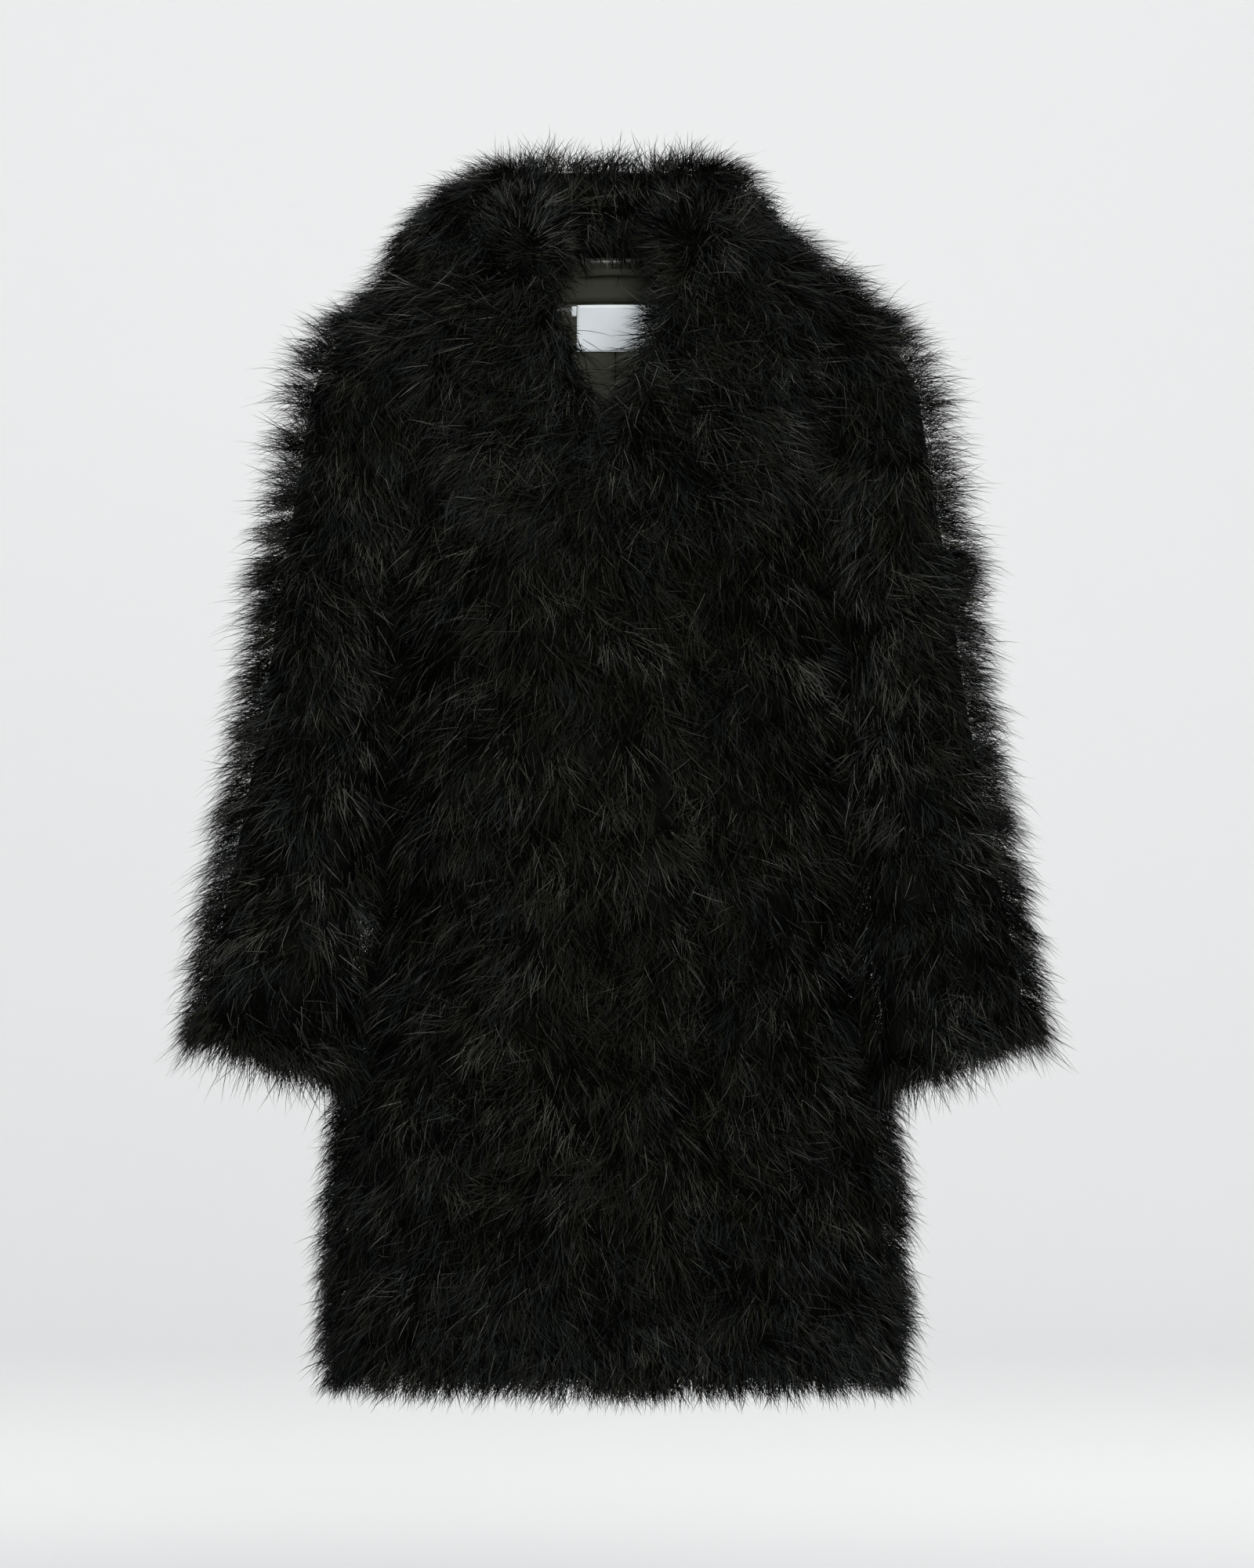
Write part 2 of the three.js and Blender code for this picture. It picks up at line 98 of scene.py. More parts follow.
# x of each front's edge at the hem, where the V closes and at the top, and the heights of its bend
EDGES = {"right": dict(hem=43.0, closing=-9.0, top=-60.0, bend=(590.0, 757.0)),
         "left": dict(hem=-20.0, closing=-4.0, top=54.0, bend=(680.0, 745.0))}
LAP = dict(sink=20.0, start=64.0, end=100.0, low=735.0, high=800.0)  # the left front under the right one
STAND = dict(right_turn=2.13, left_turn=2.2)  # turns at which the collar's stand ends
FOLDS = {"right": dict(top=(31.8, 640.0), hem=(-120.0, 0.0)), "left": dict(top=(-20.0, 400.0), hem=(120.0, 0.0))}
FOLD_Y = -147.0
FOLD_REACH = 20.0  # how far each way a front bends about its fold
BACK_FACE = 127.0  # outer face of the back's fabric at the hem

# ---- the layers of cloth, as depths from the body's surface ----
FABRIC = (-1.0, 1.0)
LINING = (-8.0, -6.5)
SLEEVE_LINING = (-6.0, -4.5)
COLLAR_FABRIC = (14.0, 16.0)
ROLL_FABRIC = (-1.5, 0.0)
LABEL_LAYER = (-12.4, -11.8)
TAB_LAYER = (-12.0, -11.2)
PILE_START = 18.0  # where the feathers of the collar's fall are rooted
LABEL_EDGES = (-31, 37, 829, 866)  # left, right, low and high
TAB_EDGES = (-35.5, -31.5, 857, 865)
# Share of the lean, distance from the neck seam and height of the lines along the collar's roll
ROLL = ((0, -2, 936), (0, 3, 957), (0.1, 14, 968), (0.25, 35, 963), (0.5, 60, 936), (0.8, 78, 906))

low_back, high_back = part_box("back_fabric")
SHIFT = np.array([0.0, BACK_FACE - high_back.y * 1000, HEM - low_back.z * 1000])


def to_row(points):
    """Points in the coat's millimetres, moved into the row frame in metres."""
    return (np.asarray(points, float) - SHIFT) / 1000


def name_of(side):
    return "right" if side < 0 else "left"


# ---- curves and surfaces ----
def smooth(low, high, x):
    t = np.clip((np.asarray(x, float) - low) / (high - low), 0, 1)
    return t * t * (3 - 2 * t)


def mix(a, b, t):
    return a + (b - a) * t


def unit(v):
    return v / (np.linalg.norm(v, axis=-1, keepdims=True) + 1e-9)


def along(table, place):
    """Values of a table at places along its first column, on smooth curves through its rows."""
    place = np.asarray(place, float)
    x, v = table[:, 0], table[:, 1:]
    slopes = np.zeros_like(v)
    rise = v[2:] - v[:-2]
    same_way = (v[1:-1] - v[:-2]) * (v[2:] - v[1:-1]) > 0
    slopes[1:-1] = np.where(same_way, rise / (x[2:] - x[:-2])[:, None], 0)
    i = np.clip(np.searchsorted(x, place, side="right") - 1, 0, len(x) - 2)
    span = (x[i + 1] - x[i])[..., None]
    t = ((place - x[i])[..., None]) / span
    t2, t3 = t * t, t * t * t
    return ((2 * t3 - 3 * t2 + 1) * v[i] + (t3 - 2 * t2 + t) * slopes[i] * span
            + (3 * t2 - 2 * t3) * v[i + 1] + (t3 - t2) * slopes[i + 1] * span)


def body_point(turn, z):
    """A point on the body at a turn (0 at the back centre, positive towards +X) and a height."""
    turn, z = np.broadcast_arrays(np.asarray(turn, float), np.asarray(z, float))
    width, depth, roundness = np.moveaxis(along(SECTIONS, z), -1, 0)
    s, c = np.sin(turn), np.cos(turn)
    r = (np.abs(s / width) ** roundness + np.abs(c / depth) ** roundness) ** (-1 / roundness)
    return np.stack([r * s, r * c, z], -1)


def solve_turn(reached, z, halvings=36):
    """The turn between 0 and a quarter at which reached(point) first holds, by halving."""
    low, high = np.zeros_like(z), np.full_like(z, math.pi / 2)
    for _ in range(halvings):
        middle = (low + high) / 2
        inside = reached(body_point(middle, z))
        low, high = np.where(inside, low, middle), np.where(inside, middle, high)
    return low


def turn_at_x(x, z):
    """Quarter turn from the centre line to an x, at the same height front and back."""
    x, z = np.broadcast_arrays(np.asarray(x, float), np.asarray(z, float))
    most = along(SECTIONS, z)[..., 0] * 0.9999
    return solve_turn(lambda p: p[..., 0] >= np.minimum(np.abs(x), most), z.copy())


def front_turn(x, z, side):
    past = turn_at_x(x, z) * np.sign(x)
    return -math.pi - past if side < 0 else math.pi - past


def side_turn(z, front):
    """Turn at which a front or the back ends: at the side seam, or at the armhole's edge."""
    k = (z - ARMHOLE["centre"]) / ARMHOLE["half_height"]
    y = ARMHOLE["half_depth"] * np.sqrt(np.clip(1 - k * k, 0, 1)) + 0.2
    turn = solve_turn(lambda p: p[..., 1] <= y, np.asarray(z, float).copy())
    return math.pi - turn if front else turn


def edge_x(side, z):
    """x of a front's edge, along the lap below the V and along the V above."""
    edge = EDGES[name_of(side)]
    above = mix(edge["closing"], edge["top"], smooth(VERTEX - 40, NECK + 30, z) * 1.12)
    return np.where(z > VERTEX, above, mix(edge["hem"], edge["closing"], smooth(*edge["bend"], z)))


def sink(at):
    """How far the left front lies under the right one."""
    deep = LAP["sink"] * smooth(LAP["end"], LAP["start"], at[..., 0])
    return np.where(at[..., 1] > 0, 0, deep * (1 - smooth(LAP["low"], LAP["high"], at[..., 2])))


def grid_normals(points, outward_from=(0, 0, 0)):
    """Unit normals of a grid of points, turned away from the point that they stand round."""
    n = np.cross(np.gradient(points, axis=1), np.gradient(points, axis=0))
    n /= np.linalg.norm(n, axis=-1, keepdims=True) + 1e-9
    away = (points - np.asarray(outward_from, float)) * [1, 1, 0.15]
    n[np.sum(n * away, -1) < 0] *= -1
    return n


def lifted(points, normals, depth):
    return points + normals * (depth[..., None] if np.ndim(depth) else depth)


def body_patch(low, high, start, end, columns, rows, down=None):
    """A grid of points and normals on the body between two heights and two turns."""
    z = np.linspace(low, high, rows)[:, None] * np.ones((1, columns))
    u = np.linspace(0, 1, columns)[None, :]
    p = body_point(mix(start(z), end(z), u), z)
    n = grid_normals(p)
    if down is not None:
        p = lifted(p, n, -down(p))
    return p, n


def back_patch(low=HEM, high=NECK, columns=60, rows=110):
    return body_patch(low, high, lambda z: -side_turn(z, False), lambda z: side_turn(z, False), columns, rows)


def front_patch(side, low=HEM, high=NECK, columns=40, rows=110):
    return body_patch(low, high, lambda z: side * side_turn(z, True),
                      lambda z: front_turn(edge_x(side, z), z, side), columns, rows, None if side < 0 else sink)


def sleeve_patch(side, start=0.0, end=1.0, columns=49, rows=70):
    """The sleeve's tube from the armhole to the cuff; the grid closes on itself across its columns."""
    place = np.linspace(start, end, rows)
    table = np.column_stack([np.linspace(0, 1, len(SLEEVE)), SLEEVE])
    out_x, out_z, in_x, in_z, half_depth, y = np.moveaxis(along(table, place), -1, 0)
    turn = np.linspace(0, 2 * math.pi, columns)[None, :]
    half = np.stack([(out_x - in_x) / 2, 0 * y, (out_z - in_z) / 2], -1)[:, None, :]
    centre = np.stack([(out_x + in_x) / 2, y, (out_z + in_z) / 2], -1)[:, None, :]
    c, s = np.cos(turn)[..., None], np.sin(turn)[..., None]
    across = np.array([0.0, 1.0, 0.0]) * half_depth[:, None, None]
    p = centre + half * c + across * s
    n = half / np.sum(half * half, -1, keepdims=True) * c + across / (half_depth[:, None, None] ** 2) * s
    n /= np.linalg.norm(n, axis=-1, keepdims=True)
    mirror = np.array([-side, 1.0, 1.0])
    return p * mirror, n * mirror


def shoulder_patch(side, columns=40, rows=12):
    """The cap of a shoulder, from under the collar to the sleeve, open below."""
    start, end, neck_z, drop = 112, 206, 916 if side < 0 else 910, 76 if side < 0 else 70
    x = np.linspace(start, end, rows)[:, None]
    a = np.linspace(-1.5, 1.5, columns)[None, :]
    y = -4 + mix(60, 66, (x - start) / (end - start)) * np.sin(a)
    z = neck_z - drop * smooth(100, 215, x) ** 0.9 - 62 * (1 - np.cos(a))
    p = np.stack([side * x + 0 * a, y + 0 * x, z + 0 * x], -1)
    return p, grid_normals(p, outward_from=(side * 120, 0, 640))


def armhole_patch(side, columns=49, rows=6):
    """The gusset between the armhole's edge on the body and the head of the sleeve, all round."""
    turn = np.linspace(0, 2 * math.pi, columns)
    z = ARMHOLE["centre"] + ARMHOLE["half_height"] * np.cos(turn)
    y = ARMHOLE["half_depth"] * np.sin(turn)
    width, deep, roundness = np.moveaxis(along(SECTIONS, z), -1, 0)
    x = width * (1 - (np.abs(y) / deep) ** roundness) ** (1 / roundness)
    edge = np.stack([side * x, y, z], -1)
    head = sleeve_patch(side, 0, 0.02, columns, 2)[0][0]
    points = mix(edge[None], head[None], np.linspace(0, 1, rows)[:, None, None])
    return points, unit((points - [0, 0, ARMHOLE["centre"]]) * [0, 1, 1])


# ---- the collar's surfaces ----
def stand_point(turn, offset, z):
    """A point on the collar's stand, a distance outside the neck seam's ellipse."""
    base = body_point(turn, NECK)[..., :2]
    reach = np.where(np.asarray(offset) > 5, mix(0.75, 1, np.abs(np.sin(turn))), 1)
    k = 1 + np.asarray(offset) * reach / np.linalg.norm(base, axis=-1)
    return np.concatenate([base * k[..., None], np.asarray(z, float)[..., None] * np.ones_like(k)[..., None]], -1)


def stand_patch(offset, low, high, facing, columns=60, rows=8):
    """The upright band round the neck, seen from outside (facing 1) or from inside (facing -1)."""
    turn = np.linspace(-STAND["right_turn"], STAND["left_turn"], columns)
    points = np.stack([stand_point(turn, offset, z) for z in np.linspace(low, high, rows)])
    return points, unit(facing * points * [1, 1, 0] + [0, 0, 1e-6])


def collar_edge(x, front):
    """Height of the lower edge of the collar's fall."""
    x = np.abs(x)
    if not front:
        return mix(790, 806, smooth(0, 150, x))
    return 800 - 125 * smooth(165, 70, x) - 22 * smooth(70, 0, x)


def fall_patch(start, end, front, side, columns=46, rows=26, depth=PILE_START, down=None, high=868):
    """The part of the collar that lies on the shoulders, between two distances from the centre."""
    u = np.linspace(0, 1, columns)[None, :]
    v = np.linspace(0, 1, rows)[:, None]
    z = high * np.ones((rows, columns))
    for _ in range(3):
        x = mix(start(z), end(z), u)
        z = mix(collar_edge(x, front), high, v)
    x = mix(start(z), end(z), u)
    turn = front_turn(x, z, side) if front else turn_at_x(x, z) * np.sign(x)
    p = body_point(turn, z)
    n = grid_normals(p)
    if down is not None:
        p = lifted(p, n, -down(p))
    return lifted(p, n, depth), n


def collar_reach(z):
    return np.minimum(138, along(SECTIONS, z)[..., 0] - 1)


# Where each fall starts and ends, whether it lies in front, and on which side
FALLS = {
    "right": (lambda z: edge_x(-1, z), lambda z: -collar_reach(z), True, -1),
    "left": (lambda z: np.maximum(edge_x(1, z), edge_x(-1, z) + 7), collar_reach, True, 1),
    "back": (lambda z: -collar_reach(z), collar_reach, False, 1),
}


def roll_patch(columns=90, rows=26, short=0.0):
    """The collar from the inside of its stand, over the roll, and down to the shoulders."""
    turn = np.linspace(short - STAND["right_turn"], STAND["left_turn"] - short, columns)
    lean = np.sign(turn) * 0.36 * smooth(1.3, 2.15, np.abs(turn))
    shoulder = body_point(turn + lean, 866)
    shoulder = shoulder + unit(shoulder * [1, 1, 0]) * 15 + [0, 0, 12]
    low = body_point(turn + lean, 850)
    low = low + unit(low * [1, 1, 0]) * 20 + [0, 0, 4]
    lines = [stand_point(turn + lean * share, offset, z) for share, offset, z in ROLL]
    path = np.stack([*lines[:-1], mix(lines[-1], shoulder, 0.35), shoulder, low])
    path[..., 2] -= 18 * smooth(46, 120, np.abs(path[..., 0])) * smooth(890, 930, path[..., 2])
    path[..., 0] -= 8 * smooth(885, 945, path[..., 2])
    path[..., 0] -= 13 * smooth(862, 888, path[..., 2]) * smooth(948, 922, path[..., 2])
    steps = np.arange(len(path), dtype=float)
    place = np.linspace(0, steps[-1], rows)
    points = np.stack([along(np.column_stack([steps, path[:, k]]), place) for k in range(columns)], axis=1)
    n = unit(np.cross(np.gradient(points, axis=1), np.gradient(points, axis=0)))
    n[np.sum(n * (points - stand_point(turn, 14, 890)[None]), -1) < 0] *= -1
    return points, n


def v_edge_patch(side, depth=16.0, width=14, columns=5, rows=30):
    """A narrow strip along a front's edge from the roll's front end down to the closing of the V."""
    z = np.linspace(700, 912, rows)[:, None] * np.ones((1, columns))
    x = edge_x(side, z) + side * np.linspace(0, width, columns)[None, :]
    p = body_point(front_turn(x, z, side), z)
    n = grid_normals(p)
    return lifted(p, n, depth), n


def end_patch(side, columns=33, rows=10):
    """The rounded front end of the roll, from which the feathers spread on all sides."""
    centre, radii = np.array([side * 72.0 - 5, -50.0, 904.0]), np.array([32.0, 34.0, 36.0])
    pole = unit(np.array([-side * 0.45, -1.0, -0.10]))
    across = unit(np.cross(pole, [0, 0, 1.0]))
    over = np.cross(across, pole)
    a = np.linspace(0, 2 * math.pi, columns)[None, :, None]
    b = np.linspace(0.06, 1.75, rows)[:, None, None]
    n = pole * np.cos(b) + (across * np.cos(a) + over * np.sin(a)) * np.sin(b)
    return centre + n * radii, unit(n)


# ---- how a piece moves ----
def on_body(piece):
    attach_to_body(piece, "coat_body")


def on_sleeve(side):
    return lambda piece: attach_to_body(piece, f"{name_of(side)}_sleeve")


def on_front(side):
    """Works out the oblique line about which a front opens, but only bakes the piece's transform in place."""
    fold = FOLDS[name_of(side)]
    top, hem = np.array(fold["top"]), np.array(fold["hem"])
    line = (top - hem) / np.linalg.norm(top - hem)
    across = np.array([line[1], -line[0]]) if side < 0 else np.array([-line[1], line[0]])
    ends = ((top + hem) / 2 + across * d for d in (-FOLD_REACH, FOLD_REACH))
    start, end = (to_row([x, FOLD_Y, z]) for x, z in ends)
    return lambda piece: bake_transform(piece)


def on_armhole():
    """Bakes the piece's transform in place."""
    return lambda piece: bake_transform(piece)


# ---- materials ----
def principled(name, color, roughness, specular=0.5):
    """A new material, with its node tree and its shader."""
    mat = bpy.data.materials.new(name)
    mat.use_nodes = True
    shader = mat.node_tree.nodes["Principled BSDF"]
    shader.inputs["Base Color"].default_value = (*color, 1)
    shader.inputs["Roughness"].default_value = roughness
    shader.inputs["Specular IOR Level"].default_value = specular
    return mat, mat.node_tree, shader


def feather_set():
    """Blacks of slightly different tint and gloss; the deep one is also painted on every strand's root as painted
    shade.
    """
    shades = (("neutral", (0.0050, 0.0052, 0.0036), 0.50, 0.10),
              ("deep", (0.0008, 0.0008, 0.0006), 0.70, 0.01),
              ("blue", (0.0044, 0.0064, 0.0062), 0.46, 0.10),
              ("olive", (0.0066, 0.0064, 0.0034), 0.50, 0.10),
              ("grey", (0.0280, 0.0290, 0.0225), 0.46, 0.20))
    return [principled(f"feather_{name}", *rest)[0] for name, *rest in shades]


def noise_to_roughness(tree, shader, scale, low, high, detail=2.0):
    """A noise over the surface that varies the gloss; returns the noise for further use."""
    place = tree.nodes.new("ShaderNodeTexCoord")
    clouds = tree.nodes.new("ShaderNodeTexNoise")
    clouds.inputs["Scale"].default_value = scale
    clouds.inputs["Detail"].default_value = detail
    tree.links.new(place.outputs["Object"], clouds.inputs["Vector"])
    gloss = tree.nodes.new("ShaderNodeMapRange")
    gloss.inputs["To Min"].default_value = low
    gloss.inputs["To Max"].default_value = high
    tree.links.new(clouds.outputs["Fac"], gloss.inputs["Value"])
    tree.links.new(gloss.outputs["Result"], shader.inputs["Roughness"])
    return place, clouds


def woven(name, color, light, roughness, threads=1400.0, bump=0.15, specular=0.3):
    """A woven cloth: fine crossed threads in the bump, and a soft cloudy change of colour and gloss."""
    mat, tree, shader = principled(name, color, roughness, specular)
    place, clouds = noise_to_roughness(tree, shader, 9.0, roughness - 0.06, roughness + 0.08, 3.0)
    ramp = tree.nodes.new("ShaderNodeValToRGB")
    for element, position, tone in zip(ramp.color_ramp.elements, (0.36, 0.66), (color, light)):
        element.position = position
        element.color = (*tone, 1)
    tree.links.new(clouds.outputs["Fac"], ramp.inputs["Fac"])
    tree.links.new(ramp.outputs["Color"], shader.inputs["Base Color"])
    both = tree.nodes.new("ShaderNodeMath")
    both.operation = "MULTIPLY"
    for k, axis in enumerate("XZ"):
        wave = tree.nodes.new("ShaderNodeTexWave")
        wave.bands_direction = axis
        wave.inputs["Scale"].default_value = threads / math.tau
        wave.inputs["Distortion"].default_value = 0.4
        tree.links.new(place.outputs["Object"], wave.inputs["Vector"])
        tree.links.new(wave.outputs["Fac"], both.inputs[k])
    relief = tree.nodes.new("ShaderNodeBump")
    relief.inputs["Strength"].default_value = bump
    relief.inputs["Distance"].default_value = 0.0002
    tree.links.new(both.outputs["Value"], relief.inputs["Height"])
    tree.links.new(relief.outputs["Normal"], shader.inputs["Normal"])
    return mat


def dark_metal():
    mat, tree, shader = principled("dark_metal", (0.02, 0.02, 0.02), 0.4)
    noise_to_roughness(tree, shader, 900, 0.28, 0.45)
    shader.inputs["Metallic"].default_value = 0.9
    return mat


# ---- feathers ----
SHADES = 5
ROOT_SHADE = 1  # place of the darkest material, painted on every strand's root as painted shade
CUTS = np.array([0.0, 0.34, 0.70, 1.0])  # places along a strand at which its ribbon is cut
WIDTHS = np.array([0.75, 1.0, 0.72, 0.0])  # and its width at each
MOST_STRANDS = 39500  # in one piece
BEFORE_BEND, AFTER_BEND = 0.45, 0.58  # shares of a strand's length
OVERHANG = 8.0  # how far strands may pass the coat's box, besides 3 percent of it
FRINGE = 7.0  # how far they hang below its lowest place


def noise(p, scale, phase):
    """A smooth wavy value between about -1 and 1 at points in millimetres."""
    q = np.asarray(p) / scale
    a = np.sin(q[..., 0] * 2.1 + 1.3 * np.sin(q[..., 2] * 1.7 + phase) + phase)
    b = np.sin(q[..., 2] * 2.6 + 1.1 * np.sin(q[..., 0] * 1.9 - phase) + q[..., 1] * 1.4 + 2 * phase)
    return 0.5 * (a + b)


def pick(grid, i, j):
    """Values of a grid at fractional rows i and columns j."""
    i0 = np.clip(np.floor(i).astype(int), 0, grid.shape[0] - 2)
    j0 = np.clip(np.floor(j).astype(int), 0, grid.shape[1] - 2)
    fi, fj = (i - i0)[:, None], (j - j0)[:, None]
    return (grid[i0, j0] * (1 - fi) * (1 - fj) + grid[i0 + 1, j0] * fi * (1 - fj)
            + grid[i0, j0 + 1] * (1 - fi) * fj + grid[i0 + 1, j0 + 1] * fi * fj)


def climb(line):
    """Distance along each line of points from its first point."""
    step = np.linalg.norm(np.diff(line, axis=0), axis=-1)
    return np.cumsum(np.concatenate([np.zeros_like(step[:1]), step]), axis=0)


def tuft_places(rng, points, row_step, tuft_step):
    """Fractional grid places in rows a step apart, evenly spaced along each row with some scatter.
    Where the rows run closer together, some places are left out, so that the density stays the same."""
    climbs = climb(points)
    rise = climbs[:, int(np.argmax(climbs[-1]))]
    rows = max(2, int(round(rise[-1] / row_step)))
    places = []
    for k in range(rows + 1):
        i = np.interp(rise[-1] * k / rows, rise, np.arange(len(rise)))
        reach = climb(pick(points, np.full(points.shape[1], i), np.arange(points.shape[1], dtype=float)))
        count = max(1, int(round(reach[-1] / tuft_step)))
        s = (np.arange(count) + 0.5 * (k % 2) + rng.uniform(-0.45, 0.45, count)) / count * reach[-1]
        j = np.interp(np.clip(s, 0, reach[-1]), reach, np.arange(len(reach)))
        i_all = np.clip(i + rng.uniform(-0.6, 0.6, count) * (len(rise) - 1) / rows, 0, points.shape[0] - 1)
        share = np.interp(j, np.arange(points.shape[1]), climbs[-1]) / rise[-1]
        places.append(np.column_stack([i_all, j])[rng.random(count) < share])
    return np.concatenate(places)


def grow(rng, points, normals, flow, tints, length=40.0, lift=0.95, row_step=17.0, tuft_step=15.0, strands=40,
         wild=0.36, droop=0.20, root=7.0, keep=None):
    """Roots, bends and tips of the strands of many tufts on a surface, with a shade for each strand."""
    i, j = tuft_places(rng, points, row_step, tuft_step).T
    at, up = pick(points, i, j), unit(pick(normals, i, j))
    if keep is not None:
        chosen = keep(at)
        at, up = at[chosen], up[chosen]
    # Each tuft: the way it lies, how far it stands up and how long it is
    way = flow(at, up)
    way = unit(way - up * np.sum(way * up, -1, keepdims=True))
    side = np.cross(up, way)
    turn = 0.75 * (0.65 * noise(at, 75.0, 0.7) + 0.55 * noise(at, 31.0, 4.2)) + rng.normal(0, 0.34, len(at))
    c, s = np.cos(turn)[:, None], np.sin(turn)[:, None]
    way, side = way * c + side * s, side * c - way * s
    lift = lift(at) if callable(lift) else lift
    lift = np.clip(lift + 0.26 * noise(at, 34.0, 2.1) + rng.normal(0, 0.18, len(at)), 0.15, 1.5)
    length = length(at) if callable(length) else np.full(len(at), float(length))
    length = length * rng.uniform(0.82, 1.12, len(at))
    # Each strand: its place in the tuft, and its own way from root to bend and from bend to tip
    tuft = np.repeat(np.arange(len(at)), strands)
    n = len(tuft)
    dx, dy = rng.normal(0, 0.55, n), rng.normal(0, 0.55, n)
    start = at[tuft] + side[tuft] * (dx * tuft_step * 0.72)[:, None] + way[tuft] * (dy * row_step * 0.70)[:, None]
    start = start + up[tuft] * rng.uniform(0, root, n)[:, None]
    spread = dx * 0.30 + rng.normal(0, wild, n)
    f = way[tuft] * np.cos(spread)[:, None] + side[tuft] * np.sin(spread)[:, None]
    angle = np.clip(lift[tuft] + rng.normal(0, 0.28, n), 0.05, 1.5)
    first = unit(f * np.cos(angle)[:, None] + up[tuft] * np.sin(angle)[:, None])
    second = unit(f + up[tuft] * rng.normal(0.30, 0.30, n)[:, None] + side[tuft] * rng.normal(0, 0.42, n)[:, None]
                  + np.array([0, 0, -1.0]) * droop)
    length = length[tuft] * rng.uniform(0.50, 1.12, n)
    bend = start + first * (length * BEFORE_BEND)[:, None]
    tip = bend + second * (length * AFTER_BEND)[:, None]
    # Half of the strands take their tuft's shade
    weights = tints(at)[tuft]
    edges = np.cumsum(weights / weights.sum(-1, keepdims=True), axis=-1)
    own = rng.random(n)
    shared = np.where(rng.random(n) < 0.5, rng.random(len(at))[tuft], own)
    shade = np.minimum((shared[:, None] > edges).sum(-1), SHADES - 1)
    return start, bend, tip, up[tuft], shade


def trimmed(start, bend, tip):
    """Shortens the strands that would reach out of the coat's box or below its hem."""
    low, high = (np.array(v) * 1000 for v in CAD_BOX)
    room = (high - low) * 0.03 + OVERHANG
    low, high = low - room + SHIFT, high + room + SHIFT
    low = np.tile(low, (len(start), 1))
    low[:, 2] = 5.0 * np.sin(start[:, 0] * 7.3) - FRINGE
    far, keep = tip - start, np.ones(len(start))
    for limit, beyond in ((low, tip < low), (high, tip > high)):
        share = np.where(beyond, (limit - start) / np.where(beyond, far, 1), 1).min(-1)
        keep = np.minimum(keep, np.clip(share, 0.1, 1))
    keep = keep[:, None]
    return start + (bend - start) * keep, start + far * keep


def strand_mesh(name, rng, start, bend, tip, up, shade, width=0.55):
    """One mesh of tapering ribbons, each a short curve from root to tip: two quads and a triangle."""
    n = len(start)
    if n > MOST_STRANDS:
        raise ValueError(f"{name} has {n} strands")
    bend, tip = trimmed(start, bend, tip)
    t = CUTS[None, :, None]
    p = start[:, None] * (1 - t) ** 2 + 2 * bend[:, None] * t * (1 - t) + tip[:, None] * t ** 2
    tangent = unit((bend - start)[:, None] * (1 - t) + (tip - bend)[:, None] * t)
    roll = rng.normal(0, 0.55, n)[:, None, None]
    flat = unit(np.cross(tangent, up[:, None]))
    across = flat * np.cos(roll) + np.cross(flat, tangent) * np.sin(roll)
    half = across * (width * rng.uniform(0.7, 1.25, n)[:, None, None] * WIDTHS[None, :, None] / 2)
    left, right = p - half, p + half
    verts = np.stack([left[:, 0], right[:, 0], left[:, 1], right[:, 1], left[:, 2], right[:, 2], p[:, 3]], 1)
    per_strand = verts.shape[1]
    corners, firsts = np.array([0, 1, 3, 2, 2, 3, 5, 4, 4, 5, 6]), np.array([0, 4, 8])
    loops = (np.arange(n)[:, None] * per_strand + corners[None, :]).ravel()
    starts = (np.arange(n)[:, None] * len(corners) + firsts[None, :]).ravel()
    mesh = bpy.data.meshes.new(name)
    mesh.vertices.add(n * per_strand)
    mesh.vertices.foreach_set("co", to_row(verts).astype(np.float32).ravel())
    mesh.loops.add(len(loops))
    mesh.loops.foreach_set("vertex_index", loops.astype(np.int32))
    mesh.polygons.add(len(starts))
    mesh.polygons.foreach_set("loop_start", starts.astype(np.int32))
    # Every strand's root quad wears the darkest material as painted shade at the roots; its bend and tip wear its
    # own shade.
    shades = np.stack([np.full(n, ROOT_SHADE), shade, shade], 1)
    mesh.polygons.foreach_set("material_index", shades.ravel().astype(np.int32))
    mesh.update(calc_edges=True)
    mesh.validate()
    return finished(name, mesh, FEATHERS)


def finished(name, mesh, materials):
    """A smooth visible piece of a mesh."""
    mesh.polygons.foreach_set("use_smooth", np.ones(len(mesh.polygons), bool))
    for mat in materials:
        mesh.materials.append(mat)
    piece = bpy.data.objects.new(name, mesh)
    bpy.context.scene.collection.objects.link(piece)
    return piece


def feathers(name, rng, patch, flow, attach, *nodes, width=0.55, **manner):
    """A piece of strands grown on a patch, in place of the CAD nodes named."""
    points, normals = patch
    piece = strand_mesh(name, rng, *grow(rng, points, normals, flow, **manner), width=width)
    attach(piece)
    if nodes:
        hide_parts(*nodes)


